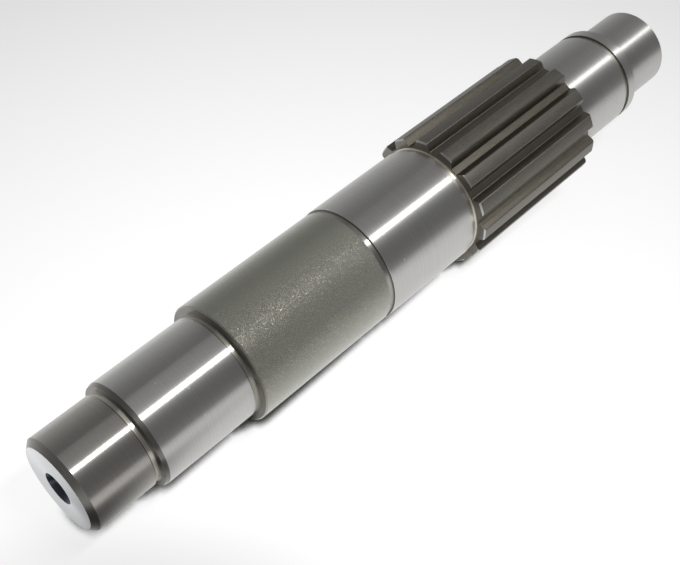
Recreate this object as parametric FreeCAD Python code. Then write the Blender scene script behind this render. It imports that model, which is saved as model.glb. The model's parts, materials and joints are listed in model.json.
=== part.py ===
import FreeCAD, Part
import math
import os

# Splined drive shaft, turned and ground from one steel bar. Millimetres.
# The axis of rotation is X, +Z is up, and the origin lies on the axis at half the length.
# The shaft lies down: two neighbouring teeth straddle the lowest line of the toothed section.
# From the -X end to the +X end: pilot journal, small seat, plain body, main seat, toothed
# section, ring seat, tail journal.

# Driving dimensions: diameters
pilot_diameter = 26.5
small_seat_diameter = 30.0
body_diameter = 34.6
main_seat_diameter = 35.0
ring_seat_diameter = 30.0
tail_diameter = 25.0

# Driving dimensions: lengths along the axis, each up to its own shoulder
pilot_length = 19.6
small_seat_length = 30.0
body_length = 46.6
main_seat_length = 34.2
tooth_length = 51.8
ring_seat_length = 29.2
tail_length = 20.1

# Driving dimensions: toothed section, straight involute teeth with a wide land
tooth_count = 14
tooth_module = 2.5
pressure_angle = 20.0
profile_shift = 1.0
tooth_depth = 2.3
root_fillet = 0.45
tooth_end_chamfer = 0.4

# Driving dimensions: relief grooves, where a grinding wheel runs out
shoulder_relief_width = 1.7
shoulder_relief_depth = 0.4
shoulder_relief_corner = 0.35
body_relief_width = 1.75
body_relief_depth = 0.4
body_relief_corner = 0.2
tooth_relief_width = 2.2
tooth_relief_depth = 0.7
tooth_relief_corner = 0.45

# Driving dimensions: groove for a retaining ring near the end of the ring seat
ring_groove_width = 1.75
ring_groove_depth = 0.7
ring_groove_land = 3.25
ring_groove_corner = 0.1

# Driving dimensions: chamfers
pilot_end_chamfer = 1.55
tail_end_chamfer = 1.2
lead_chamfer_length = 1.1
lead_chamfer_height = 0.35
body_edge_chamfer = 0.35
main_seat_edge_chamfer = 0.1
ring_seat_edge_chamfer = 0.3

# Driving dimensions: centre hole in each end face, a drilled pilot under a 60 degree cone
centre_mouth_diameter = 9.0
centre_drill_diameter = 4.0
centre_drill_depth = 9.5
centre_cone_angle = 60.0
drill_point_angle = 118.0

# Worked out: shoulders, measured from the -X end face
pilot_shoulder = pilot_length
body_start = pilot_shoulder + small_seat_length
main_seat_start = body_start + body_length
tooth_start = main_seat_start + main_seat_length
tooth_end = tooth_start + tooth_length
tail_shoulder = tooth_end + ring_seat_length
total_length = tail_shoulder + tail_length

# Worked out: radii
pilot_radius = pilot_diameter / 2
small_seat_radius = small_seat_diameter / 2
body_radius = body_diameter / 2
main_seat_radius = main_seat_diameter / 2
ring_seat_radius = ring_seat_diameter / 2
tail_radius = tail_diameter / 2
centre_mouth_radius = centre_mouth_diameter / 2
centre_drill_radius = centre_drill_diameter / 2

# Worked out: tooth form
pitch_radius = tooth_module * tooth_count / 2
tip_radius = pitch_radius + tooth_module
root_radius = tip_radius - tooth_depth
base_radius = pitch_radius * math.cos(math.radians(pressure_angle))
tooth_pitch_angle = 2 * math.pi / tooth_count

# How the shapes are made: points on a flank, how far the tooth cutter runs past the metal,
# and the most of a wall that a rounded groove corner may take up
flank_points = 6
cutter_overrun = 1.0
corner_share_of_wall = 0.9


class HalfSection:
    """Half of the lengthwise section: a chain of edges at (distance along X, radius)."""

    def __init__(self, x, radius):
        self.edges = []
        self.x = x
        self.radius = radius

    def point(self, x, radius):
        return FreeCAD.Vector(x - total_length / 2, 0, radius)

    def line_to(self, x, radius):
        start = self.point(self.x, self.radius)
        self.edges.append(Part.LineSegment(start, self.point(x, radius)).toShape())
        self.x = x
        self.radius = radius

    def corner_to(self, x, radius, centre_x, centre_radius):
        """Quarter round from the present point about a centre."""
        middle_angle = math.atan2(
            (self.radius + radius) / 2 - centre_radius,
            (self.x + x) / 2 - centre_x,
        )
        corner = math.hypot(x - centre_x, radius - centre_radius)
        middle = self.point(
            centre_x + corner * math.cos(middle_angle),
            centre_radius + corner * math.sin(middle_angle),
        )
        start = self.point(self.x, self.radius)
        self.edges.append(Part.Arc(start, middle, self.point(x, radius)).toShape())
        self.x = x
        self.radius = radius

    def groove_to(self, end_x, floor_radius, corner):
        """Groove from the present point with a flat floor, ending at the foot of its far wall."""
        start_x = self.x
        wall_height = abs(self.radius - floor_radius)
        corner = min(corner, corner_share_of_wall * wall_height)
        self.line_to(start_x, floor_radius + corner)
        self.corner_to(start_x + corner, floor_radius, start_x + corner, floor_radius + corner)
        self.line_to(end_x - corner, floor_radius)
        self.corner_to(end_x, floor_radius + corner, end_x - corner, floor_radius + corner)

    def face(self):
        """Closed face, its last side along the axis."""
        first = self.edges[0].Vertexes[0].Point
        last = self.point(self.x, self.radius)
        self.edges.append(Part.LineSegment(last, first).toShape())
        return Part.Face(Part.Wire(self.edges))


def centre_cone_depth():
    half_angle = math.radians(centre_cone_angle / 2)
    return (centre_mouth_radius - centre_drill_radius) / math.tan(half_angle)


def drill_tip_depth():
    half_angle = math.radians(drill_point_angle / 2)
    return centre_drill_depth + centre_drill_radius / math.tan(half_angle)


def turned_blank():
    """The shaft before its teeth are cut, turned about the axis."""
    outline = HalfSection(drill_tip_depth(), 0)

    # Centre hole and face of the -X end
    outline.line_to(centre_drill_depth, centre_drill_radius)
    outline.line_to(centre_cone_depth(), centre_drill_radius)
    outline.line_to(0, centre_mouth_radius)
    outline.line_to(0, pilot_radius - pilot_end_chamfer)

    # Pilot journal, its relief and the lead chamfer of the small seat
    outline.line_to(pilot_end_chamfer, pilot_radius)
    outline.line_to(pilot_shoulder - shoulder_relief_width, pilot_radius)
    outline.groove_to(pilot_shoulder, pilot_radius - shoulder_relief_depth, shoulder_relief_corner)
    outline.line_to(pilot_shoulder, small_seat_radius - lead_chamfer_height)
    outline.line_to(pilot_shoulder + lead_chamfer_length, small_seat_radius)

    # Small seat and its relief
    outline.line_to(body_start - shoulder_relief_width, small_seat_radius)
    outline.groove_to(body_start, small_seat_radius - shoulder_relief_depth, shoulder_relief_corner)

    # Plain body, left as turned, and the groove that parts it from the main seat
    outline.line_to(body_start, body_radius - body_edge_chamfer)
    outline.line_to(body_start + body_edge_chamfer, body_radius)
    outline.line_to(main_seat_start - body_relief_width, body_radius)
    body_relief_floor = min(body_radius, main_seat_radius) - body_relief_depth
    outline.groove_to(main_seat_start, body_relief_floor, body_relief_corner)

    # Main seat and the relief before the teeth
    outline.line_to(main_seat_start, main_seat_radius - main_seat_edge_chamfer)
    outline.line_to(main_seat_start + main_seat_edge_chamfer, main_seat_radius)
    outline.line_to(tooth_start - tooth_relief_width, main_seat_radius)
    outline.groove_to(tooth_start, main_seat_radius - tooth_relief_depth, tooth_relief_corner)

    # Ring from which the teeth are cut
    outline.line_to(tooth_start, tip_radius - tooth_end_chamfer)
    outline.line_to(tooth_start + tooth_end_chamfer, tip_radius)
    outline.line_to(tooth_end - tooth_end_chamfer, tip_radius)
    outline.line_to(tooth_end, tip_radius - tooth_end_chamfer)

    # Ring seat with the relief behind the teeth and the retaining ring groove
    ring_seat_start = tooth_end + shoulder_relief_width
    ring_groove_end = tail_shoulder - ring_seat_edge_chamfer - ring_groove_land
    outline.groove_to(ring_seat_start, ring_seat_radius - shoulder_relief_depth, shoulder_relief_corner)
    outline.line_to(ring_seat_start, ring_seat_radius)
    outline.line_to(ring_groove_end - ring_groove_width, ring_seat_radius)
    outline.groove_to(ring_groove_end, ring_seat_radius - ring_groove_depth, ring_groove_corner)
    outline.line_to(ring_groove_end, ring_seat_radius)
    outline.line_to(tail_shoulder - ring_seat_edge_chamfer, ring_seat_radius)
    outline.line_to(tail_shoulder, ring_seat_radius - ring_seat_edge_chamfer)

    # Tail journal with the relief behind its shoulder
    tail_start = tail_shoulder + shoulder_relief_width
    outline.groove_to(tail_start, tail_radius - shoulder_relief_depth, shoulder_relief_corner)
    outline.line_to(tail_start, tail_radius)
    outline.line_to(total_length - tail_end_chamfer, tail_radius)
    outline.line_to(total_length, tail_radius - tail_end_chamfer)

    # Face and centre hole of the +X end
    outline.line_to(total_length, centre_mouth_radius)
    outline.line_to(total_length - centre_cone_depth(), centre_drill_radius)
    outline.line_to(total_length - centre_drill_depth, centre_drill_radius)
    outline.line_to(total_length - drill_tip_depth(), 0)

    axis_point = FreeCAD.Vector(0, 0, 0)
    axis_direction = FreeCAD.Vector(1, 0, 0)
    return outline.face().revolve(axis_point, axis_direction, 360)


def involute(angle):
    return math.tan(angle) - angle


def tooth_half_angle(radius):
    """Half of the angle that a tooth takes up at a radius; radial below the base circle."""
    pressure = math.radians(pressure_angle)
    pitch_thickness = tooth_module * (math.pi / 2 + 2 * profile_shift * math.tan(pressure))
    at_radius = math.acos(min(1, base_radius / radius))
    return pitch_thickness / (2 * pitch_radius) + involute(pressure) - involute(at_radius)


def space_point(radius, side):
    """Point on one flank of the space under the axis; side is -1 or +1."""
    angle = side * (tooth_pitch_angle / 2 - tooth_half_angle(radius))
    x = tooth_start - cutter_overrun - total_length / 2
    return FreeCAD.Vector(x, radius * math.sin(angle), -radius * math.cos(angle))


def flank_edge(side):
    outer_radius = tip_radius + cutter_overrun
    step = (outer_radius - root_radius) / (flank_points - 1)
    curve = Part.BSplineCurve()
    curve.interpolate([space_point(root_radius + step * i, side) for i in range(flank_points)])
    return curve.toShape()


def space_cutter():
    """Solid that fills the space between two teeth, with rounded feet."""
    outer_radius = tip_radius + cutter_overrun
    floor_middle = FreeCAD.Vector(space_point(root_radius, 1).x, 0, -root_radius)
    floor = Part.Arc(space_point(root_radius, -1), floor_middle, space_point(root_radius, 1)).toShape()
    top = Part.LineSegment(space_point(outer_radius, 1), space_point(outer_radius, -1)).toShape()
    outline = Part.Wire([floor, flank_edge(1), top, flank_edge(-1)])
    reach = FreeCAD.Vector(tooth_length + 2 * cutter_overrun, 0, 0)
    cutter = Part.Face(outline).extrude(reach)
    feet = [edge for edge in cutter.Edges if is_foot(edge)]
    return cutter.makeFillet(root_fillet, feet)


def is_foot(edge):
    """Whether an edge of the cutter runs along a foot of the space, parallel to the axis."""
    first, last = edge.Vertexes[0].Point, edge.Vertexes[-1].Point
    runs_along = abs(first.x - last.x) > tooth_length
    return runs_along and math.hypot(first.y, first.z) < (root_radius + tip_radius) / 2


def shaft():
    """The turned blank with its tooth spaces cut, one solid."""
    cutter = space_cutter()
    spaces = []
    for i in range(tooth_count):
        space = cutter.copy()
        space.rotate(FreeCAD.Vector(0, 0, 0), FreeCAD.Vector(1, 0, 0), 360 * i / tooth_count)
        spaces.append(space)
    (solid,) = turned_blank().cut(spaces).Solids
    return solid


def main():
    os.makedirs("parts", exist_ok=True)
    solid = shaft()
    solid.exportStep("parts/splined_shaft.step")
    box = solid.BoundBox
    print("valid", solid.isValid(), "volume cm3", round(solid.Volume / 1000, 2))
    print("x", round(box.XMin, 3), round(box.XMax, 3), "z", round(box.ZMin, 3), round(box.ZMax, 3))


main()
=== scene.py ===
import enum
import json
import logging
import math
from dataclasses import dataclass, field

import bmesh
import bpy
from mathutils import Euler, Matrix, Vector


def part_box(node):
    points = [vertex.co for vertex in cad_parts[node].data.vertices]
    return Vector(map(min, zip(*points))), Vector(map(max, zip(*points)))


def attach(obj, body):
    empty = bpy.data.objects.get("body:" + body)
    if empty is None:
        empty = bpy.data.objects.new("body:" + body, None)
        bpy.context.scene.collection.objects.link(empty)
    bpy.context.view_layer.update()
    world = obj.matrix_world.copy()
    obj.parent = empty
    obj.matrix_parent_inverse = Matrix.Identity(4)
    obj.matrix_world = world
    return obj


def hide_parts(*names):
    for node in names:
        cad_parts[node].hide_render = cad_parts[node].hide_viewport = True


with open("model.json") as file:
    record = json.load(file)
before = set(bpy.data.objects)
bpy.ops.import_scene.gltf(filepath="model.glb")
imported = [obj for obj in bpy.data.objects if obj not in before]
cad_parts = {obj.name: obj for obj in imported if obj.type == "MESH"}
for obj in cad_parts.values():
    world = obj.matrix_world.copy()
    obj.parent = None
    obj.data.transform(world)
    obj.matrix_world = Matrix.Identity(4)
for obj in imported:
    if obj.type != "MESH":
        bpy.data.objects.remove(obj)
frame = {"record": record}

log = logging.getLogger("splined_shaft")

# Units in metres, and a cubic centimetre in cubic metres
MM = 0.001
UM = 0.001 * MM
CUBIC_CM = 1e-6

Point = tuple[float, float]
Range = tuple[float, float]
Triple = tuple[float, float, float]
Colour = tuple[float, float, float, float]
Tree = bpy.types.NodeTree
Socket = bpy.types.NodeSocket


def linear(hex_colour: str) -> Colour:
    """Turn an sRGB hex colour into linear light.

    Args:
        hex_colour: six hex digits with a leading hash.

    Returns:
        Red, green, blue and alpha, linear.
    """
    channels = []
    for start in (1, 3, 5):
        value = int(hex_colour[start:start + 2], 16) / 255
        channels.append(value / 12.92 if value <= 0.04045 else ((value + 0.055) / 1.055) ** 2.4)
    return (*channels, 1.0)


def between(source: Range, target: Range = (0.0, 1.0)) -> dict[str, float]:
    """Name the ends of a range, and of the one that it is carried over to, as sockets name them."""
    return {"From Min": source[0], "From Max": source[1], "To Min": target[0], "To Max": target[1]}


def add_node(tree: Tree, kind: str, settings: dict | None = None,
             values: dict | None = None, links: dict | None = None) -> bpy.types.Node:
    """Add a node with its settings, its plain socket values and its incoming links.

    Args:
        tree: node tree that gets the node.
        kind: the node's type name.
        settings: attributes of the node and their values.
        values: input sockets, by name or number, and their plain values.
        links: input sockets, by name or number, and the output sockets that feed them.

    Returns:
        The new node.
    """
    node = tree.nodes.new(kind)
    for name, value in (settings or {}).items():
        setattr(node, name, value)
    for socket, value in (values or {}).items():
        node.inputs[socket].default_value = value
    for socket, source in (links or {}).items():
        tree.links.new(source, node.inputs[socket])
    return node


def new_material(name: str) -> bpy.types.Material:
    """Make an empty node material.

    Args:
        name: the material's name.

    Returns:
        The material, with no node in its tree.
    """
    material = bpy.data.materials.new(name)
    material.use_nodes = True
    material.node_tree.nodes.clear()
    return material


class Finish(enum.Enum):
    """The ways in which the shaft's surfaces were made, by the number that their faces carry."""

    GROUND = 0
    # Ground steel made darker as painted shade
    GROUND_PAINTED_SHADE = 1
    BLASTED = 2
    TOPPED = 3
    # Hobbed steel, darker with painted shade between the teeth
    HOBBED = 4
    TURNED = 5
    # Form-cut steel, darker with painted shade in corners, chamfers and walls
    FORMED = 6
    FACED = 7
    # Drilled steel, darker with painted shade in the centre holes
    CENTRED = 8


@dataclass(frozen=True)
class Dust:
    """A few pale specks of dust that lie on the steel."""

    colour: str = "#d8d6d0"
    roughness: float = 0.9
    spacing_mm: float = 4.5
    radius_share: float = 0.055
    bare_share: float = 0.62

    def over(self, tree: Tree, place: Socket, steel: Socket) -> Socket:
        """Lay the specks over the steel.

        Args:
            tree: the material's tree.
            place: Object coordinates.
            steel: the steel's shader.

        Returns:
            The shader of the dusty steel.
        """
        cells = add_node(
            tree, "ShaderNodeTexVoronoi", {"feature": "F1"},
            {"Scale": 1 / (self.spacing_mm * MM), "Randomness": 1.0}, {"Vector": place},
        )
        near = add_node(
            tree, "ShaderNodeMath", {"operation": "LESS_THAN"}, {1: self.radius_share},
            {0: cells.outputs["Distance"]},
        ).outputs[0]
        chance = add_node(
            tree, "ShaderNodeSeparateColor", None, None, {"Color": cells.outputs["Color"]},
        ).outputs["Red"]
        chosen = add_node(
            tree, "ShaderNodeMath", {"operation": "GREATER_THAN"}, {1: self.bare_share}, {0: chance},
        ).outputs[0]
        speck = add_node(
            tree, "ShaderNodeMath", {"operation": "MULTIPLY"}, None, {0: near, 1: chosen},
        ).outputs[0]
        dust = add_node(
            tree, "ShaderNodeBsdfPrincipled", None,
            {"Base Color": linear(self.colour), "Roughness": self.roughness},
        ).outputs["BSDF"]
        return add_node(
            tree, "ShaderNodeMixShader", None, None, {0: speck, 1: steel, 2: dust},
        ).outputs["Shader"]


@dataclass(frozen=True, kw_only=True)
class Steel:
    """Bare steel: the colours that it lies between, its range of roughness, its relief and its dust."""

    name: str
    light: str
    dark: str
    shade_range: Range
    roughness: Range
    relief_um: float
    dust: Dust | None = None

    def material(self) -> bpy.types.Material:
        """Build the material.

        Returns:
            Steel with a pattern in its colour, gloss and relief.
        """
        material = new_material(self.name)
        tree = material.node_tree
        place = add_node(tree, "ShaderNodeTexCoord").outputs["Object"]
        surface = self.surface(tree, place)
        if self.dust:
            surface = self.dust.over(tree, place, surface)
        add_node(tree, "ShaderNodeOutputMaterial", None, None, {"Surface": surface})
        return material

    def surface(self, tree: Tree, place: Socket) -> Socket:
        """Make the bare steel's shader, which each way of working the steel does in its own way."""
        raise NotImplementedError

    def tint(self, tree: Tree, shade: Socket) -> Socket:
        """Colour the steel from dark to light.

        Args:
            tree: the material's tree.
            shade: the pattern that the colour follows.

        Returns:
            The colour.
        """
        lightness = add_node(
            tree, "ShaderNodeMapRange", None, between(self.shade_range), {"Value": shade},
        ).outputs["Result"]
        return add_node(
            tree, "ShaderNodeMix", {"data_type": "RGBA"},
            {"A": linear(self.dark), "B": linear(self.light)}, {"Factor": lightness},
        ).outputs["Result"]


@dataclass(frozen=True, kw_only=True)
class TurnedSteel(Steel):
    """Steel turned or ground about the axis: fine lines run round it, under a thin film in patches.

    Its gloss is a sharp one mixed with a broad one, and worn is the broad one's share.
    """

    line_mm: float
    run_mm: float
    line_range: Range = (0.35, 0.65)
    worn: Range = (0.49, 0.58)
    film_mm: float = 14.0
    film_share: float = 0.35
    shade_range: Range = (0.45, 0.9)
    stretch: float = 0.8
    stretch_turn: float = 0.25
    concentric: bool = False

    def surface(self, tree: Tree, place: Socket) -> Socket:
        """Make the steel.

        Args:
            tree: the material's tree.
            place: Object coordinates.

        Returns:
            Shader whose colour, gloss and relief follow the tool lines.
        """
        lines = add_node(
            tree, "ShaderNodeTexNoise", {"noise_dimensions": "3D"},
            {"Scale": 1.0, "Detail": 3.0, "Roughness": 0.65},
            {"Vector": self.line_coordinates(tree, place)},
        ).outputs["Fac"]
        relief = add_node(
            tree, "ShaderNodeBump", None, {"Strength": 1.0, "Distance": self.relief_um * UM},
            {"Height": lines},
        ).outputs["Normal"]
        around = add_node(
            tree, "ShaderNodeTangent", {"direction_type": "RADIAL", "axis": "X"},
        ).outputs["Tangent"]
        film = add_node(
            tree, "ShaderNodeTexNoise", None,
            {"Scale": 1 / (self.film_mm * MM), "Detail": 2.0, "Roughness": 0.5}, {"Vector": place},
        ).outputs["Fac"]
        shade = add_node(
            tree, "ShaderNodeMath", {"operation": "MULTIPLY_ADD"}, {1: self.film_share},
            {0: film, 2: lines},
        ).outputs[0]
        colour = self.tint(tree, shade)
        sharp, broad = (add_node(
            tree, "ShaderNodeBsdfPrincipled", None,
            {"Metallic": 1.0, "Roughness": roughness, "Anisotropic": self.stretch,
             "Anisotropic Rotation": self.stretch_turn},
            {"Base Color": colour, "Normal": relief, "Tangent": around},
        ).outputs["BSDF"] for roughness in self.roughness)
        worn = add_node(
            tree, "ShaderNodeMapRange", None, between(self.line_range, self.worn), {"Value": lines},
        ).outputs["Result"]
        return add_node(
            tree, "ShaderNodeMixShader", None, None, {0: worn, 1: sharp, 2: broad},
        ).outputs["Shader"]

    def line_coordinates(self, tree: Tree, place: Socket) -> Socket:
        """Coordinates in which one unit is one line wide and one run long.

        Args:
            tree: the material's tree.
            place: Object coordinates.

        Returns:
            The stretched coordinates.
        """
        across, along = 1 / (self.line_mm * MM), 1 / (self.run_mm * MM)
        if not self.concentric:
            return add_node(
                tree, "ShaderNodeMapping", None, {"Scale": (across, along, along)}, {"Vector": place},
            ).outputs["Vector"]
        flat = add_node(
            tree, "ShaderNodeMapping", None, {"Scale": (0.0, across, across)}, {"Vector": place},
        ).outputs["Vector"]
        radius = add_node(
            tree, "ShaderNodeVectorMath", {"operation": "LENGTH"}, None, {0: flat},
        ).outputs["Value"]
        return add_node(tree, "ShaderNodeCombineXYZ", None, None, {"X": radius}).outputs["Vector"]


@dataclass(frozen=True, kw_only=True)
class BlastedSteel(Steel):
    """Steel matt from blasting: a fine grain with bright glints in the light.

    A glint and a glance along the surface are glossier by the shares given, and the glints are
    painted too, in a pale gold colour.
    """

    # Colour of the painted glints on the grain's highest specks
    glint: str
    grain_mm: float
    grain_range: Range = (0.35, 0.65)
    patch_mm: float = 9.0
    patch_share: float = 0.1
    light_stop: float = 0.7
    glint_range: Range = (0.61, 0.75)
    glint_gloss: float = 0.4
    grazing_range: Range = (0.1, 0.65)
    grazing_gloss: float = 0.32
    film_weight: float = 0.5
    film_roughness: float = 0.45

    def surface(self, tree: Tree, place: Socket) -> Socket:
        """Make the steel.

        Args:
            tree: the material's tree.
            place: Object coordinates.

        Returns:
            Matt shader with a grain in its colour, gloss and relief.
        """
        grain = add_node(
            tree, "ShaderNodeTexNoise", None,
            {"Scale": 1 / (self.grain_mm * MM), "Detail": 2.0, "Roughness": 0.7}, {"Vector": place},
        ).outputs["Fac"]
        patches = add_node(
            tree, "ShaderNodeTexNoise", None,
            {"Scale": 1 / (self.patch_mm * MM), "Detail": 3.0, "Roughness": 0.6}, {"Vector": place},
        ).outputs["Fac"]
        shade = add_node(
            tree, "ShaderNodeMath", {"operation": "MULTIPLY_ADD"}, {1: self.patch_share},
            {0: patches, 2: grain},
        ).outputs[0]
        relief = add_node(
            tree, "ShaderNodeBump", None, {"Strength": 1.0, "Distance": self.relief_um * UM},
            {"Height": grain},
        ).outputs["Normal"]
        return add_node(
            tree, "ShaderNodeBsdfPrincipled", None,
            {"Metallic": 1.0, "Coat Weight": self.film_weight, "Coat Roughness": self.film_roughness},
            {"Base Color": self.tint(tree, shade), "Roughness": self.gloss(tree, grain, shade),
             "Normal": relief},
        ).outputs["BSDF"]

    def tint(self, tree: Tree, shade: Socket) -> Socket:
        """Colour the steel from dark over light to the glints.

        Args:
            tree: the material's tree.
            shade: the grain, with a little of the wide patches.

        Returns:
            The colour.
        """
        place = add_node(
            tree, "ShaderNodeMapRange", None, between(self.shade_range), {"Value": shade},
        ).outputs["Result"]
        ramp = add_node(tree, "ShaderNodeValToRGB", None, None, {"Fac": place})
        ramp.color_ramp.elements[0].color = linear(self.dark)
        # The top of the ramp is a painted glint: a pale gold colour on the grain's highest specks
        ramp.color_ramp.elements[1].color = linear(self.glint)
        middle = ramp.color_ramp.elements.new(self.light_stop)
        middle.color = linear(self.light)
        return ramp.outputs["Color"]

    def gloss(self, tree: Tree, grain: Socket, shade: Socket) -> Socket:
        """Roughness that follows the grain, and falls in a glint and along the surface.

        Args:
            tree: the material's tree.
            grain: height of the grain.
            shade: the grain, with a little of the wide patches.

        Returns:
            The roughness.
        """
        low, high = self.roughness
        dull = add_node(
            tree, "ShaderNodeMapRange", None, between(self.grain_range, (high, low)), {"Value": grain},
        ).outputs["Result"]
        glinting = add_node(
            tree, "ShaderNodeMapRange", None, between(self.glint_range, (1.0, self.glint_gloss)),
            {"Value": shade},
        ).outputs["Result"]
        facing = add_node(tree, "ShaderNodeLayerWeight", None, {"Blend": 0.5}).outputs["Facing"]
        grazing = add_node(
            tree, "ShaderNodeMapRange", None, between(self.grazing_range, (1.0, self.grazing_gloss)),
            {"Value": facing},
        ).outputs["Result"]
        speckled = add_node(
            tree, "ShaderNodeMath", {"operation": "MULTIPLY"}, None, {0: dull, 1: glinting},
        ).outputs[0]
        return add_node(
            tree, "ShaderNodeMath", {"operation": "MULTIPLY"}, None, {0: speckled, 1: grazing},
        ).outputs[0]


@dataclass(frozen=True, kw_only=True)
class ToothedSteel(Steel):
    """Steel of the teeth: faint bands along them and a fine grain, brown with a thin oil film."""

    band_mm: float
    run_mm: float
    grain_mm: float
    band_share: float = 0.5
    shade_range: Range = (0.55, 0.95)

    def surface(self, tree: Tree, place: Socket) -> Socket:
        """Make the steel.

        Args:
            tree: the material's tree.
            place: Object coordinates.

        Returns:
            Shader with bands and a grain in its colour, gloss and relief.
        """
        bands = self.pattern(tree, place, (self.run_mm, self.band_mm, self.band_mm))
        grain = self.pattern(tree, place, (self.grain_mm, self.grain_mm, self.grain_mm))
        shade = add_node(
            tree, "ShaderNodeMath", {"operation": "MULTIPLY_ADD"}, {1: self.band_share},
            {0: bands, 2: grain},
        ).outputs[0]
        gloss = add_node(
            tree, "ShaderNodeMapRange", None, between(self.shade_range, self.roughness),
            {"Value": shade},
        ).outputs["Result"]
        relief = add_node(
            tree, "ShaderNodeBump", None, {"Strength": 1.0, "Distance": self.relief_um * UM},
            {"Height": shade},
        ).outputs["Normal"]
        return add_node(
            tree, "ShaderNodeBsdfPrincipled", None, {"Metallic": 1.0},
            {"Base Color": self.tint(tree, shade), "Roughness": gloss, "Normal": relief},
        ).outputs["BSDF"]

    def pattern(self, tree: Tree, place: Socket, size_mm: Triple) -> Socket:
        """Noise stretched along the axes.

        Args:
            tree: the material's tree.
            place: Object coordinates.
            size_mm: the pattern's size along each axis.

        Returns:
            The noise's value.
        """
        scale = tuple(1 / (size * MM) for size in size_mm)
        stretched = add_node(
            tree, "ShaderNodeMapping", None, {"Scale": scale}, {"Vector": place},
        ).outputs["Vector"]
        return add_node(
            tree, "ShaderNodeTexNoise", None, {"Scale": 1.0, "Detail": 3.0, "Roughness": 0.6},
            {"Vector": stretched},
        ).outputs["Fac"]


# Ground bearing steel: a mirror drawn out into fine rings. Real lines are under 0.05 mm apart, too
# fine to show, so they are drawn coarser.
GROUND_STEEL = TurnedSteel(
    name="ground_steel", light="#cfcecc", dark="#cac9c6", roughness=(0.26, 0.64),
    line_mm=0.08, run_mm=30.0, relief_um=0.12, stretch=1.0, dust=Dust(),
)

# The same ground steel, darker as painted shade: the pilot's dimmer reflection, a groove floor's shade.
GROUND_STEEL_PAINTED_SHADE = TurnedSteel(
    name="oiled_ground_steel", light="#bfbcb7", dark="#b7b4ae", roughness=(0.26, 0.64),
    line_mm=0.08, run_mm=30.0, relief_um=0.12, stretch=1.0, dust=Dust(),
)

# Blasted steel: a matt olive-grey skin whose grain turns glossier and glints where the lamp shows in
# it, and whose highest specks take a pale gold colour, painted glints. Real grit leaves pits of about
# 0.1 mm, and they are drawn twice as coarse to show.
BLASTED_STEEL = BlastedSteel(
    name="blasted_steel", light="#9b9b93", dark="#8d8d85", glint="#e2d9b0", roughness=(0.78, 0.95),
    grain_mm=0.2, relief_um=9.0, shade_range=(0.3, 0.8), dust=Dust(),
)

# Turned tooth tops: darker and browner than the ground seats, with faint bands along the teeth, as
# wide as the feed lines of turning.
TOPPED_STEEL = ToothedSteel(
    name="tooth_top_steel", light="#84817a", dark="#6c6962", roughness=(0.37, 0.49),
    band_mm=0.2, run_mm=5.0, grain_mm=0.22, relief_um=1.0,
)

# Hobbed steel in the spaces: browner than the tops, with the hob's fine scratches, and darker as
# painted shade between the teeth.
HOBBED_STEEL_PAINTED_SHADE = ToothedSteel(
    name="hobbed_steel", light="#79756b", dark="#625e55", roughness=(0.34, 0.46),
    band_mm=0.2, run_mm=5.0, grain_mm=0.22, relief_um=1.0,
)

# Turned steel on the floors of grooves and on small edges: bright, with the rings of a fine feed.
TURNED_STEEL = TurnedSteel(
    name="turned_steel", light="#dcd8cc", dark="#c8c4b8", roughness=(0.2, 0.5),
    line_mm=0.12, run_mm=14.0, relief_um=0.6,
)

# Steel cut by the side of a forming tool in chamfers, corners and shoulders: darker, as painted shade
# in them.
FORMED_STEEL_PAINTED_SHADE = TurnedSteel(
    name="form_cut_steel", light="#8a8883", dark="#777570", roughness=(0.2, 0.5),
    line_mm=0.12, run_mm=14.0, relief_um=0.6,
)

# Faced steel on the ends: bright, with the concentric rings of a coarse feed.
FACED_STEEL = TurnedSteel(
    name="faced_steel", light="#dadbdd", dark="#ced0d2", roughness=(0.25, 0.32),
    line_mm=0.3, run_mm=10.0, relief_um=1.5, concentric=True,
)

# Drilled steel in the centre holes: dark, as painted shade in the holes, with the drill's coarse rings.
CENTRED_STEEL_PAINTED_SHADE = TurnedSteel(
    name="drilled_steel", light="#5c606b", dark="#3c404b", roughness=(0.3, 0.45),
    line_mm=0.3, run_mm=10.0, relief_um=3.0,
)

FINISHES = {
    Finish.GROUND: GROUND_STEEL,
    Finish.GROUND_PAINTED_SHADE: GROUND_STEEL_PAINTED_SHADE,
    Finish.BLASTED: BLASTED_STEEL,
    Finish.TOPPED: TOPPED_STEEL,
    Finish.HOBBED: HOBBED_STEEL_PAINTED_SHADE,
    Finish.TURNED: TURNED_STEEL,
    Finish.FORMED: FORMED_STEEL_PAINTED_SHADE,
    Finish.FACED: FACED_STEEL,
    Finish.CENTRED: CENTRED_STEEL_PAINTED_SHADE,
}


@dataclass(frozen=True)
class Wall:
    """A plain round wall that the frame states as a mount."""

    radius: float
    start: float
    end: float

    @classmethod
    def from_frame(cls, name: str) -> "Wall":
        """Read the wall of a mount.

        Args:
            name: the mount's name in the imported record.

        Returns:
            Its radius and its ends along the axis, in metres.
        """
        mount = next(m for m in frame["record"]["mounts"] if m["name"] == name)
        half = mount["dims"]["length_mm"] * MM / 2
        middle = mount["pos_m"][0]
        return cls(mount["dims"]["r_mm"] * MM, middle - half, middle + half)


class ToothSurface(enum.IntEnum):
    """The surfaces that meet in a tooth's section, and what isn't toothed."""

    PLAIN = 0
    SPACE = 1
    EDGE = 2
    LAND = 3


# A point of a tooth's section: angle from the middle of the space, radius, and what leads to it
OutlinePoint = tuple[float, float, ToothSurface]


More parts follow.
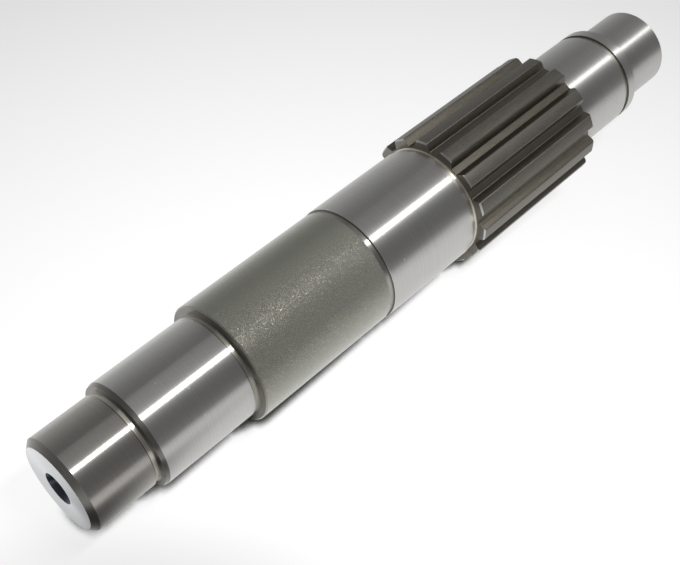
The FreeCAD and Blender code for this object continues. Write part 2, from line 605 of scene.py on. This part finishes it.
@dataclass
class ToothForm:
    """Section of the toothed part, from the middle of a space to the middle of a tooth."""

    tip_radius: float
    count: int = 14
    module: float = 2.5 * MM
    pressure_angle: float = math.radians(20)
    profile_shift: float = 1.0
    depth: float = 2.3 * MM
    fillet: float = 0.45 * MM
    edge_break: float = 0.12 * MM
    root_steps: int = 3
    fillet_steps: int = 5
    flank_steps: int = 5
    land_steps: int = 4

    @property
    def pitch(self) -> float:
        """Angle from one tooth to the next."""
        return 2 * math.pi / self.count

    @property
    def pitch_radius(self) -> float:
        """Radius of the pitch circle."""
        return self.module * self.count / 2

    @property
    def base_radius(self) -> float:
        """Radius of the circle that the flanks unwind from."""
        return self.pitch_radius * math.cos(self.pressure_angle)

    @property
    def root_radius(self) -> float:
        """Radius of the floor between the teeth."""
        return self.tip_radius - self.depth

    @property
    def fillet_centre_radius(self) -> float:
        """Radius at which the middle of the fillet lies."""
        return self.root_radius + self.fillet

    @property
    def fillet_centre_angle(self) -> float:
        """Angle at which the middle of the fillet lies, on the flank's curve moved sideways."""
        # An involute that is moved sideways is itself again, turned by the move over its base radius
        return self.flank_angle(self.fillet_centre_radius) - self.fillet / self.base_radius

    @property
    def foot_radius(self) -> float:
        """Radius at which the fillet meets the flank."""
        unwound = math.sqrt(self.fillet_centre_radius ** 2 - self.base_radius ** 2) - self.fillet
        return math.hypot(self.base_radius, unwound)

    def flank_angle(self, radius: float) -> float:
        """Angle of the flank from the middle of the space.

        Args:
            radius: where on the flank.

        Returns:
            The angle in radians.
        """
        def involute(angle: float) -> float:
            """Angle by which the flank has unwound."""
            return math.tan(angle) - angle

        thickness = self.module * (math.pi / 2 + 2 * self.profile_shift * math.tan(self.pressure_angle))
        here = math.acos(self.base_radius / radius)
        half_tooth = thickness / (2 * self.pitch_radius) + involute(self.pressure_angle) - involute(here)
        return self.pitch / 2 - half_tooth

    def fillet_points(self) -> list[OutlinePoint]:
        """Points round the fillet, from the floor to the flank.

        Returns:
            The points after the floor's last one.
        """
        angle, foot_angle = self.fillet_centre_angle, self.flank_angle(self.foot_radius)
        centre = Vector((math.cos(angle), math.sin(angle))) * self.fillet_centre_radius
        foot = Vector((math.cos(foot_angle), math.sin(foot_angle))) * self.foot_radius - centre
        first = -centre.normalized() * self.fillet
        sweep = first.angle_signed(foot)
        points = []
        for step in range(1, self.fillet_steps + 1):
            turn = -sweep * step / self.fillet_steps
            spoke = Vector((
                first.x * math.cos(turn) - first.y * math.sin(turn),
                first.x * math.sin(turn) + first.y * math.cos(turn),
            ))
            point = centre + spoke
            points.append((math.atan2(point.y, point.x), point.length, ToothSurface.SPACE))
        return points

    def half_outline(self) -> list[OutlinePoint]:
        """Points from the middle of the space to the middle of the tooth.

        Returns:
            The floor, the fillet, the flank, the broken edge and half of the land.
        """
        outline = [(0.0, self.root_radius, ToothSurface.SPACE)]
        for step in range(1, self.root_steps + 1):
            angle = self.fillet_centre_angle * step / self.root_steps
            outline.append((angle, self.root_radius, ToothSurface.SPACE))
        outline += self.fillet_points()

        top_radius = self.tip_radius - self.edge_break
        for step in range(1, self.flank_steps + 1):
            radius = self.foot_radius + (top_radius - self.foot_radius) * step / self.flank_steps
            outline.append((self.flank_angle(radius), radius, ToothSurface.SPACE))

        land_angle = self.flank_angle(self.tip_radius) + self.edge_break / self.tip_radius
        outline.append((land_angle, self.tip_radius, ToothSurface.EDGE))
        for step in range(1, self.land_steps + 1):
            angle = land_angle + (self.pitch / 2 - land_angle) * step / self.land_steps
            outline.append((angle, self.tip_radius, ToothSurface.LAND))
        return outline

    def outline(self) -> list[OutlinePoint]:
        """The whole sector, from the middle of one tooth over the space to the middle of the next.

        Returns:
            Its points, with angles from the middle of the space.
        """
        half = self.half_outline()
        surfaces = [surface for _, _, surface in half]
        mirrored = [(-angle, radius) for angle, radius, _ in reversed(half)]
        leading = [surfaces[-1]] + list(reversed(surfaces[1:]))
        left = [(angle, radius, surface) for (angle, radius), surface in zip(mirrored, leading)]
        return left + half[1:]


class Stretch(enum.IntEnum):
    """The stretches of the shaft, each with the number of its first surface."""

    NEAR = 0
    TEETH = 100
    FAR = 200


@dataclass
class Section:
    """Lengthwise section: points at (distance along the axis, radius), each with what leads to it."""

    stretch: Stretch
    points: list[Point] = field(default_factory=list)
    finishes: list[Finish] = field(default_factory=list)
    surfaces: list[int] = field(default_factory=list)
    corner_steps: int = 5

    def to(self, x: float, radius: float, finish: Finish, smooth: bool = False) -> None:
        """Add a point.

        Args:
            x: distance along the axis.
            radius: distance from the axis.
            finish: how the surface that leads there was made.
            smooth: whether that surface goes on from the last without an edge.
        """
        if not self.surfaces:
            surface = int(self.stretch)
        else:
            surface = self.surfaces[-1] if smooth else self.surfaces[-1] + 1
        self.points.append((x, radius))
        self.finishes.append(finish)
        self.surfaces.append(surface)

    def groove(self, end_x: float, floor: float, corner: float,
               cheeks: Finish = Finish.FORMED, bed: Finish = Finish.TURNED) -> None:
        """Add a groove with a flat floor and rounded corners, up to the foot of its far wall.

        Args:
            end_x: where its far wall stands.
            floor: the floor's radius.
            corner: radius of its corners.
            cheeks: how its walls and corners were made.
            bed: how its floor was made.
        """
        start_x = self.points[-1][0]
        turns = [math.pi / 2 * step / self.corner_steps for step in range(self.corner_steps + 1)]
        self.to(start_x, floor + corner, cheeks)
        for turn in turns[1:]:
            x = start_x + corner - corner * math.cos(turn)
            self.to(x, floor + corner - corner * math.sin(turn), cheeks, smooth=True)
        self.to(end_x - corner, floor, bed, smooth=True)
        for turn in turns[1:]:
            x = end_x - corner + corner * math.sin(turn)
            self.to(x, floor + corner - corner * math.cos(turn), cheeks, smooth=True)


@dataclass
class Ring:
    """One line across a tooth space: its places, and what leads to it from the last ring."""

    places: list[Point]
    finish: Finish
    surface: int
    toothed: bool = False


@dataclass
class Shaft:
    """The whole shaft, one piece of steel."""

    node: str = "splined_shaft"
    lead_chamfer_length: float = 1.1 * MM
    lead_chamfer_height: float = 0.35 * MM
    body_radius: float = 17.3 * MM
    body_edge: float = 0.35 * MM
    seat_edge: float = 0.1 * MM
    ring_seat_edge: float = 0.3 * MM
    tooth_edge: float = 0.4 * MM
    relief_depth: float = 0.4 * MM
    relief_corner: float = 0.35 * MM
    body_relief_width: float = 1.75 * MM
    body_relief_corner: float = 0.2 * MM
    tooth_relief_depth: float = 0.7 * MM
    tooth_relief_corner: float = 0.45 * MM
    ring_groove_corner: float = 0.1 * MM
    centre_mouth_radius: float = 4.5 * MM
    centre_drill_radius: float = 2.0 * MM
    centre_drill_depth: float = 9.5 * MM
    centre_cone_half_angle: float = math.radians(30)
    drill_point_half_angle: float = math.radians(59)
    merge_distance: float = 0.001 * MM
    start: float = field(init=False)
    end: float = field(init=False)
    pilot: Wall = field(init=False)
    small_seat: Wall = field(init=False)
    main_seat: Wall = field(init=False)
    ring_seat: Wall = field(init=False)
    tail: Wall = field(init=False)
    teeth: Wall = field(init=False)
    ring_groove: Wall = field(init=False)
    form: ToothForm = field(init=False)

    def __post_init__(self) -> None:
        """Read what the frame states."""
        low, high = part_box(self.node)
        self.start, self.end = low[0], high[0]
        self.pilot = Wall.from_frame("pilot_journal")
        self.small_seat = Wall.from_frame("small_seat")
        self.main_seat = Wall.from_frame("main_seat")
        self.ring_seat = Wall.from_frame("ring_seat")
        self.tail = Wall.from_frame("tail_journal")
        self.teeth = Wall.from_frame("teeth")
        self.ring_groove = Wall.from_frame("ring_groove")
        self.form = ToothForm(tip_radius=high[1])

    @property
    def relief_width(self) -> float:
        """Width of the relief groove at each shoulder, as it is behind the teeth."""
        return self.ring_seat.start - self.teeth.end

    @property
    def body_start(self) -> float:
        """Where the body's shoulder stands."""
        return self.small_seat.end + self.relief_width

    def resting_points(self) -> tuple[Point, Point]:
        """Where the shaft rests on the floor, as (distance along the axis, height).

        Returns:
            The lowest points of the body's near edge and of the near ends of the two lowest teeth.
        """
        tooth_low = -self.form.tip_radius * math.cos(self.form.flank_angle(self.form.tip_radius))
        return (
            (self.body_start + self.body_edge, -self.body_radius),
            (self.teeth.start + self.tooth_edge, tooth_low),
        )

    def centre_hole(self, section: Section, face_x: float, inward: int) -> None:
        """Add the points of a centre hole, outwards on the first end and inwards on the last.

        Args:
            section: gets the points.
            face_x: where the end face stands.
            inward: +1 where the hole runs towards +X, -1 where it runs towards -X.
        """
        cone = (self.centre_mouth_radius - self.centre_drill_radius) / math.tan(self.centre_cone_half_angle)
        tip = self.centre_drill_depth + self.centre_drill_radius / math.tan(self.drill_point_half_angle)
        points = [
            (face_x + inward * tip, 0.0),
            (face_x + inward * self.centre_drill_depth, self.centre_drill_radius),
            (face_x + inward * cone, self.centre_drill_radius),
            (face_x, self.centre_mouth_radius),
        ]
        for x, radius in points if inward > 0 else reversed(points):
            finish = Finish.FACED if inward < 0 and x == face_x else Finish.CENTRED
            section.to(x, radius, finish)

    def near_section(self) -> Section:
        """Section from the -X end to the foot of the teeth's end wall.

        Returns:
            Its points.
        """
        section = Section(Stretch.NEAR)
        shoulder = self.small_seat.start - self.lead_chamfer_length
        self.centre_hole(section, self.start, 1)
        section.to(self.start, self.pilot.radius - (self.pilot.start - self.start), Finish.FACED)
        section.to(self.pilot.start, self.pilot.radius, Finish.FORMED)
        # The pilot is darker: painted shade for its dimmer reflection
        section.to(self.pilot.end, self.pilot.radius, Finish.GROUND_PAINTED_SHADE)
        section.groove(shoulder, self.pilot.radius - self.relief_depth, self.relief_corner)
        section.to(shoulder, self.small_seat.radius - self.lead_chamfer_height, Finish.FORMED, smooth=True)
        section.to(self.small_seat.start, self.small_seat.radius, Finish.FORMED)
        section.to(self.small_seat.end, self.small_seat.radius, Finish.GROUND)
        section.groove(self.body_start, self.small_seat.radius - self.relief_depth, self.relief_corner)
        section.to(self.body_start, self.body_radius - self.body_edge, Finish.FORMED, smooth=True)
        section.to(self.body_start + self.body_edge, self.body_radius, Finish.BLASTED)

        seat_start = self.main_seat.start - self.seat_edge
        section.to(seat_start - self.body_relief_width, self.body_radius, Finish.BLASTED)
        floor = self.body_radius - self.relief_depth
        # The floor of this groove is darker: painted shade
        section.groove(seat_start, floor, self.body_relief_corner, bed=Finish.GROUND_PAINTED_SHADE)
        section.to(seat_start, self.main_seat.radius - self.seat_edge, Finish.FORMED, smooth=True)
        section.to(self.main_seat.start, self.main_seat.radius, Finish.TURNED)
        section.to(self.main_seat.end, self.main_seat.radius, Finish.GROUND)
        floor = self.main_seat.radius - self.tooth_relief_depth
        section.groove(self.teeth.start, floor, self.tooth_relief_corner, cheeks=Finish.TURNED)
        return section

    def far_section(self) -> Section:
        """Section from the foot of the teeth's far end wall to the +X end.

        Returns:
            Its points.
        """
        section = Section(Stretch.FAR)
        shoulder = self.tail.start - self.relief_width
        section.to(self.teeth.end, self.ring_seat.radius, Finish.TOPPED)
        section.groove(self.ring_seat.start, self.ring_seat.radius - self.relief_depth, self.relief_corner)
        section.to(self.ring_seat.start, self.ring_seat.radius, Finish.TURNED, smooth=True)
        section.to(self.ring_seat.end, self.ring_seat.radius, Finish.GROUND)
        section.groove(self.ring_groove.end, self.ring_groove.radius, self.ring_groove_corner)
        section.to(self.ring_groove.end, self.ring_seat.radius, Finish.FORMED, smooth=True)
        section.to(shoulder - self.ring_seat_edge, self.ring_seat.radius, Finish.GROUND)
        section.to(shoulder, self.ring_seat.radius - self.ring_seat_edge, Finish.TURNED)
        section.groove(self.tail.start, self.tail.radius - self.relief_depth, self.relief_corner)
        section.to(self.tail.start, self.tail.radius, Finish.TURNED, smooth=True)
        section.to(self.tail.end, self.tail.radius, Finish.GROUND)
        section.to(self.end, self.tail.radius - (self.end - self.tail.end), Finish.TURNED)
        self.centre_hole(section, self.end, -1)
        return section

    def plain_rings(self, section: Section, width: int) -> list[Ring]:
        """Rings of a stretch that is round all the way, one for each point of its section."""
        return [Ring([point] * width, finish, surface)
                for point, finish, surface in zip(section.points, section.finishes, section.surfaces)]

    def toothed_rings(self, outline: list[OutlinePoint]) -> list[Ring]:
        """Rings of the toothed stretch: its near end wall and chamfer, then its far ones.

        Args:
            outline: the section of one tooth space.

        Returns:
            The four rings.
        """
        chamfer_radius = self.form.tip_radius - self.tooth_edge
        walls, edges = [], []
        for end, inward in ((self.teeth.start, 1), (self.teeth.end, -1)):
            walls.append([(end, min(radius, chamfer_radius)) for _, radius, _ in outline])
            edges.append([(end + inward * max(0.0, radius - chamfer_radius), radius)
                          for _, radius, _ in outline])
        first = int(Stretch.TEETH)
        return [
            Ring(walls[0], Finish.FORMED, first),
            Ring(edges[0], Finish.GROUND, first + 1),
            Ring(edges[1], Finish.TOPPED, first + 2, toothed=True),
            Ring(walls[1], Finish.TURNED, first + 3),
        ]

    def sector(self) -> bpy.types.Object:
        """Build the part of the shaft under one tooth space, from end to end.

        Returns:
            An open strip with a finish and a surface number on each face.
        """
        outline = self.form.outline()
        width = len(outline)
        rings = self.plain_rings(self.near_section(), width)
        rings += self.toothed_rings(outline)
        rings += self.plain_rings(self.far_section(), width)

        vertices = [(x, radius * math.sin(angle), -radius * math.cos(angle))
                    for ring in rings for (x, radius), (angle, _, _) in zip(ring.places, outline)]
        faces, finishes, surfaces = [], [], []
        for i, ring in enumerate(rings[1:], start=1):
            for j in range(1, width):
                here, there = (i - 1) * width + j, i * width + j
                part = outline[j][2] if ring.toothed else ToothSurface.PLAIN
                # The spaces take the hobbed steel, darker with painted shade between the teeth
                finish = Finish.HOBBED if part == ToothSurface.SPACE else ring.finish
                faces.append((here - 1, here, there, there - 1))
                finishes.append(finish.value)
                surfaces.append(ring.surface * len(ToothSurface) + part)
        mesh = bpy.data.meshes.new("shaft_sector")
        mesh.from_pydata(vertices, [], faces)
        for name, values in (("finish", finishes), ("surface", surfaces)):
            attribute = mesh.attributes.new(name, "INT", "FACE")
            attribute.data.foreach_set("value", values)
        strip = bpy.data.objects.new("shaft_sector", mesh)
        bpy.context.scene.collection.objects.link(strip)
        return strip

    def ring_tree(self, materials: dict[Finish, bpy.types.Material]) -> Tree:
        """Geometry nodes that set the sector round the axis and dress its faces.

        Args:
            materials: the material of each finish.

        Returns:
            The tree, with named inputs for the number of teeth and the merging distance.
        """
        tree = bpy.data.node_groups.new("teeth_round_axis", "GeometryNodeTree")
        tree.interface.new_socket("Sector", in_out="INPUT", socket_type="NodeSocketGeometry")
        tree.interface.new_socket("Tooth Count", in_out="INPUT", socket_type="NodeSocketInt")
        tree.interface.new_socket("Merge Distance", in_out="INPUT", socket_type="NodeSocketFloat")
        tree.interface.new_socket("Shaft", in_out="OUTPUT", socket_type="NodeSocketGeometry")
        inputs = add_node(tree, "NodeGroupInput").outputs
        count = inputs["Tooth Count"]
        places = add_node(
            tree, "GeometryNodeMeshLine", {"mode": "OFFSET"}, {"Offset": (0, 0, 0)}, {"Count": count},
        ).outputs["Mesh"]
        pitch = add_node(
            tree, "ShaderNodeMath", {"operation": "DIVIDE"}, {0: 2 * math.pi}, {1: count},
        ).outputs[0]
        index = add_node(tree, "GeometryNodeInputIndex").outputs["Index"]
        turn = add_node(
            tree, "ShaderNodeMath", {"operation": "MULTIPLY"}, None, {0: pitch, 1: index},
        ).outputs[0]
        about_axis = add_node(tree, "ShaderNodeCombineXYZ", None, None, {"X": turn}).outputs["Vector"]
        copies = add_node(
            tree, "GeometryNodeInstanceOnPoints", None, None,
            {"Points": places, "Instance": inputs["Sector"], "Rotation": about_axis},
        ).outputs["Instances"]
        real = add_node(tree, "GeometryNodeRealizeInstances", None, None, {"Geometry": copies}).outputs[0]
        dressed = add_node(
            tree, "GeometryNodeMergeByDistance", None, None,
            {"Geometry": real, "Distance": inputs["Merge Distance"]},
        ).outputs[0]
        finish = add_node(
            tree, "GeometryNodeInputNamedAttribute", {"data_type": "INT"}, {"Name": "finish"},
        ).outputs["Attribute"]
        for kind, material in materials.items():
            # Compare takes whole numbers at sockets 2 and 3
            chosen = add_node(
                tree, "FunctionNodeCompare", {"data_type": "INT", "operation": "EQUAL"},
                {3: kind.value}, {2: finish},
            ).outputs["Result"]
            dressed = add_node(
                tree, "GeometryNodeSetMaterial", None, {"Material": material},
                {"Geometry": dressed, "Selection": chosen},
            ).outputs["Geometry"]
        add_node(tree, "NodeGroupOutput", None, None, {"Shaft": dressed})
        return tree

    def build(self) -> bpy.types.Object:
        """Build and dress the shaft.

        Returns:
            The finished piece, riding on the frame in place of the CAD node.
        """
        materials = {kind: steel.material() for kind, steel in FINISHES.items()}
        strip = self.sector()
        tree = self.ring_tree(materials)
        modifier = strip.modifiers.new("teeth_round_axis", "NODES")
        modifier.node_group = tree
        sizes = {"Tooth Count": self.form.count, "Merge Distance": self.merge_distance}
        for item in tree.interface.items_tree:
            if item.name in sizes:
                modifier[item.identifier] = sizes[item.name]
        evaluated = strip.evaluated_get(bpy.context.evaluated_depsgraph_get())
        mesh = bpy.data.meshes.new_from_object(evaluated)
        strip.modifiers.remove(modifier)
        bpy.data.objects.remove(strip)
        self.finish_edges(mesh)
        piece = bpy.data.objects.new("shaft", mesh)
        bpy.context.scene.collection.objects.link(piece)
        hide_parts(self.node)
        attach(piece, "root")
        return piece

    def finish_edges(self, mesh: bpy.types.Mesh) -> None:
        """Point the faces outwards and keep an edge sharp where two surfaces meet.

        Args:
            mesh: the whole shaft.
        """
        work = bmesh.new()
        work.from_mesh(mesh)
        bmesh.ops.dissolve_degenerate(work, dist=self.merge_distance / 2, edges=work.edges)
        bmesh.ops.recalc_face_normals(work, faces=work.faces)
        surface = work.faces.layers.int["surface"]
        for edge in work.edges:
            edge.smooth = len({face[surface] for face in edge.link_faces}) == 1
        for face in work.faces:
            face.smooth = True
        open_edges = sum(1 for edge in work.edges if len(edge.link_faces) != 2)
        log.info("shaft: %d faces, %d open edges, %.1f cm3", len(work.faces), open_edges,
                 work.calc_volume(signed=True) / CUBIC_CM)
        work.to_mesh(mesh)
        work.free()


@dataclass(frozen=True)
class WhiteSheet:
    """Matt white sheet that looks white to the camera and to the steel, and keeps the shadow.

    It has a painted contact shadow close to what it touches, a painted falloff of the light slowly
    outwards, and a painted shaded spot below the camera, which the steel reflects and the camera hardly
    sees.
    """

    name: str = "white_sheet"
    colour: str = "#8a8a8a"
    glow: float = 0.88
    contact_shadow_reach: float = 6 * MM
    contact_shadow_samples: int = 16
    contact_shadow_range: Range = (0.48, 0.66)
    middle: Triple = (-70 * MM, -35 * MM, -20 * MM)
    light_falloff_range: Range = (90 * MM, 270 * MM)
    light_falloff_tone: float = 0.7
    shade_middle: Triple = (-123 * MM, -27 * MM, -20 * MM)
    shade_turn: float = math.radians(-45)
    shade_stretch: float = 2.2
    shade_range: Range = (10 * MM, 32 * MM)
    shade_tone: float = 0.1
    shade_seen: float = 0.2

    def material(self) -> bpy.types.Material:
        """Build the material.

        Returns:
            A matt sheet with a glow of its own, for what looks at it or mirrors it.
        """
        material = new_material(self.name)
        tree = material.node_tree
        tone = self.tone(tree)
        colour = add_node(
            tree, "ShaderNodeMix", {"data_type": "RGBA"},
            {"A": linear("#000000"), "B": linear(self.colour)}, {"Factor": tone},
        ).outputs["Result"]
        sheet = add_node(tree, "ShaderNodeBsdfDiffuse", None, None, {"Color": colour}).outputs["BSDF"]
        glow = add_node(
            tree, "ShaderNodeEmission", None, {"Color": linear("#ffffff")},
            {"Strength": self.glow_strength(tree, tone)},
        ).outputs["Emission"]
        both = add_node(tree, "ShaderNodeAddShader", None, None, {0: sheet, 1: glow}).outputs["Shader"]
        add_node(tree, "ShaderNodeOutputMaterial", None, None, {"Surface": both})
        return material

    def glow_strength(self, tree: Tree, tone: Socket) -> Socket:
        """Glow that only the camera, mirrors and glass see, and that fades towards what the sheet touches.

        Args:
            tree: the material's tree.
            tone: how light the sheet is.

        Returns:
            The strength, where 1 is white.
        """
        path = add_node(tree, "ShaderNodeLightPath").outputs
        mirrored = add_node(
            tree, "ShaderNodeMath", {"operation": "MAXIMUM"}, None,
            {0: path["Is Glossy Ray"], 1: path["Is Transmission Ray"]},
        ).outputs[0]
        seen = add_node(
            tree, "ShaderNodeMath", {"operation": "MAXIMUM"}, None,
            {0: path["Is Camera Ray"], 1: mirrored},
        ).outputs[0]
        # Painted contact shadow: the glow fades where the sheet is hemmed in by what it touches
        open_sky = add_node(
            tree, "ShaderNodeAmbientOcclusion", {"samples": self.contact_shadow_samples},
            {"Distance": self.contact_shadow_reach},
        ).outputs["AO"]
        unshaded = add_node(
            tree, "ShaderNodeMapRange", None, between(self.contact_shadow_range, (0.0, self.glow)),
            {"Value": open_sky},
        ).outputs["Result"]
        glowing = add_node(
            tree, "ShaderNodeMath", {"operation": "MULTIPLY"}, None, {0: unshaded, 1: tone},
        ).outputs[0]
        return add_node(
            tree, "ShaderNodeMath", {"operation": "MULTIPLY"}, None, {0: seen, 1: glowing},
        ).outputs[0]

    def tone(self, tree: Tree) -> Socket:
        """How light the sheet is.

        Args:
            tree: the material's tree.

        Returns:
            Lightness from 0 to 1.
        """
        place = add_node(tree, "ShaderNodeTexCoord").outputs["Object"]
        # Painted falloff of the light: the sheet darkens slowly outwards from its middle
        away = add_node(
            tree, "ShaderNodeVectorMath", {"operation": "DISTANCE"}, {1: self.middle}, {0: place},
        ).outputs["Value"]
        light_falloff = add_node(
            tree, "ShaderNodeMapRange", None, between(self.light_falloff_range, (1.0, self.light_falloff_tone)),
            {"Value": away},
        ).outputs["Result"]
        spot = add_node(
            tree, "ShaderNodeMapping", {"vector_type": "TEXTURE"},
            {"Location": self.shade_middle, "Rotation": (0, 0, self.shade_turn),
             "Scale": (self.shade_stretch, 1, 1)},
            {"Vector": place},
        ).outputs["Vector"]
        from_spot = add_node(
            tree, "ShaderNodeVectorMath", {"operation": "LENGTH"}, None, {0: spot},
        ).outputs["Value"]
        shade = add_node(
            tree, "ShaderNodeMapRange", {"interpolation_type": "SMOOTHSTEP"},
            between(self.shade_range, (self.shade_tone, 1.0)), {"Value": from_spot},
        ).outputs["Result"]
        faint = add_node(
            tree, "ShaderNodeMapRange", None, between((0.0, 1.0), (1.0 - self.shade_seen, 1.0)),
            {"Value": shade},
        ).outputs["Result"]
        seen = add_node(tree, "ShaderNodeLightPath").outputs["Is Camera Ray"]
        inner = add_node(
            tree, "ShaderNodeMix", {"data_type": "FLOAT"}, None, {"Factor": seen, "A": shade, "B": faint},
        ).outputs["Result"]
        return add_node(
            tree, "ShaderNodeMath", {"operation": "MULTIPLY"}, None, {0: light_falloff, 1: inner},
        ).outputs[0]


@dataclass(frozen=True)
class Room:
    """Dim room, paler low down on the side away from the camera, and as pale as the sheet where seen."""

    glow: float = 0.19
    side_glow: float = 0.36
    side: Triple = (0.4, 0.92, 0.0)
    side_range: Range = (-0.4, 0.9)
    height_range: Range = (-0.05, 0.95)
    seen_glow: float = 0.66

    def build(self) -> None:
        """Make the room the scene's world."""
        world = bpy.data.worlds.new("room")
        world.use_nodes = True
        tree = world.node_tree
        tree.nodes.clear()
        direction = add_node(tree, "ShaderNodeTexCoord").outputs["Generated"]
        parts = add_node(tree, "ShaderNodeSeparateXYZ", None, None, {"Vector": direction}).outputs
        low = add_node(
            tree, "ShaderNodeMapRange", {"interpolation_type": "SMOOTHSTEP"},
            between(self.height_range, (1.0, 0.0)), {"Value": parts["Z"]},
        ).outputs["Result"]
        sideways = add_node(
            tree, "ShaderNodeVectorMath", {"operation": "DOT_PRODUCT"}, {1: self.side}, {0: direction},
        ).outputs["Value"]
        away = add_node(
            tree, "ShaderNodeMapRange", {"interpolation_type": "SMOOTHSTEP"},
            between(self.side_range, (0.0, self.side_glow)), {"Value": sideways},
        ).outputs["Result"]
        lighting = add_node(
            tree, "ShaderNodeMath", {"operation": "MULTIPLY_ADD"}, {2: self.glow}, {0: low, 1: away},
        ).outputs[0]
        seen = add_node(tree, "ShaderNodeLightPath").outputs["Is Camera Ray"]
        strength = add_node(
            tree, "ShaderNodeMix", {"data_type": "FLOAT"}, {"B": self.seen_glow},
            {"Factor": seen, "A": lighting},
        ).outputs["Result"]
        background = add_node(
            tree, "ShaderNodeBackground", None, {"Color": linear("#ffffff")}, {"Strength": strength},
        ).outputs["Background"]
        add_node(tree, "ShaderNodeOutputWorld", None, None, {"Surface": background})
        bpy.context.scene.world = world


class LampFace(enum.Enum):
    """Outline of a lamp's glowing face."""

    LONG = "RECTANGLE"
    ROUND = "ELLIPSE"


@dataclass(frozen=True)
class Lamp:
    """Soft lamp that hangs over the shaft and faces down, or by its lean off that towards +Y."""

    name: str
    face: LampFace
    size: tuple[float, float]
    place: Triple
    watts: float
    lean: float = 0.0

    def hang(self) -> None:
        """Hang the lamp in the scene."""
        light = bpy.data.lights.new(self.name, "AREA")
        light.shape = self.face.value
        light.size, light.size_y = self.size
        light.energy = self.watts
        lamp = bpy.data.objects.new(self.name, light)
        lamp.rotation_euler = Euler((-self.lean, 0, 0))
        lamp.location = self.place
        bpy.context.scene.collection.objects.link(lamp)


@dataclass(frozen=True)
class Camera:
    """Camera at the photograph's place and angle."""

    place: Triple = (-0.16968, -0.14318, 0.22026)
    turn_degrees: Triple = (42.411, 0.483, -46.3375)
    lens_mm: float = 59.31
    nearest: float = 0.01

    def build(self) -> None:
        """Put the camera in the scene and look through it."""
        lens = bpy.data.cameras.new("camera")
        lens.lens = self.lens_mm
        lens.clip_start = self.nearest
        camera = bpy.data.objects.new("camera", lens)
        camera.location = self.place
        camera.rotation_euler = Euler(tuple(math.radians(angle) for angle in self.turn_degrees))
        bpy.context.scene.collection.objects.link(camera)
        bpy.context.scene.camera = camera


@dataclass
class Studio:
    """Pale floor, soft lamps, room and camera."""

    floor_touches: tuple[Point, Point]
    floor_size: float = 30.0
    floor_gap: float = 0.05 * MM
    lamp_distance: float = 0.6
    lamp_along: float = 0.13
    lamp_lean: float = math.radians(24)

    def floor(self) -> None:
        """Lay the floor that the shaft rests on, by its body's edge and two teeth."""
        (x1, z1), (x2, z2) = self.floor_touches
        slope = (z2 - z1) / (x2 - x1)
        half = self.floor_size / 2
        corners = [(x, y, z1 - self.floor_gap + slope * (x - x1))
                   for x, y in ((-half, -half), (half, -half), (half, half), (-half, half))]
        mesh = bpy.data.meshes.new("floor")
        mesh.from_pydata(corners, [], [(0, 1, 2, 3)])
        floor = bpy.data.objects.new("floor", mesh)
        bpy.context.scene.collection.objects.link(floor)
        mesh.materials.append(WhiteSheet().material())

    def lamps(self) -> list[Lamp]:
        """The lamps: a long one that leans to the camera's side, and a dim wide one beside it.

        Returns:
            Both lamps, not yet hung.
        """
        beside = -self.lamp_distance * math.sin(self.lamp_lean)
        above = self.lamp_distance * math.cos(self.lamp_lean)
        return [
            Lamp("long_lamp", LampFace.LONG, size=(0.3, 0.128), place=(self.lamp_along, beside, above),
                 watts=2.6, lean=self.lamp_lean),
            Lamp("wide_lamp", LampFace.ROUND, size=(0.25, 0.42), place=(0.04, 0.02, 0.6), watts=0.15),
        ]

    def build(self) -> None:
        """Set up the studio."""
        self.floor()
        Room().build()
        for lamp in self.lamps():
            lamp.hang()
        Camera().build()
        bpy.context.scene.view_settings.view_transform = "Standard"


def main() -> None:
    """Build the shaft and the studio, and log the shaft's vertex count."""
    logging.basicConfig(level=logging.INFO, format="%(name)s: %(message)s")
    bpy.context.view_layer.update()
    shaft = Shaft()
    piece = shaft.build()
    log.info("%s: %d vertices", piece.name, len(piece.data.vertices))
    Studio(floor_touches=shaft.resting_points()).build()


if __name__ == "__main__":
    main()
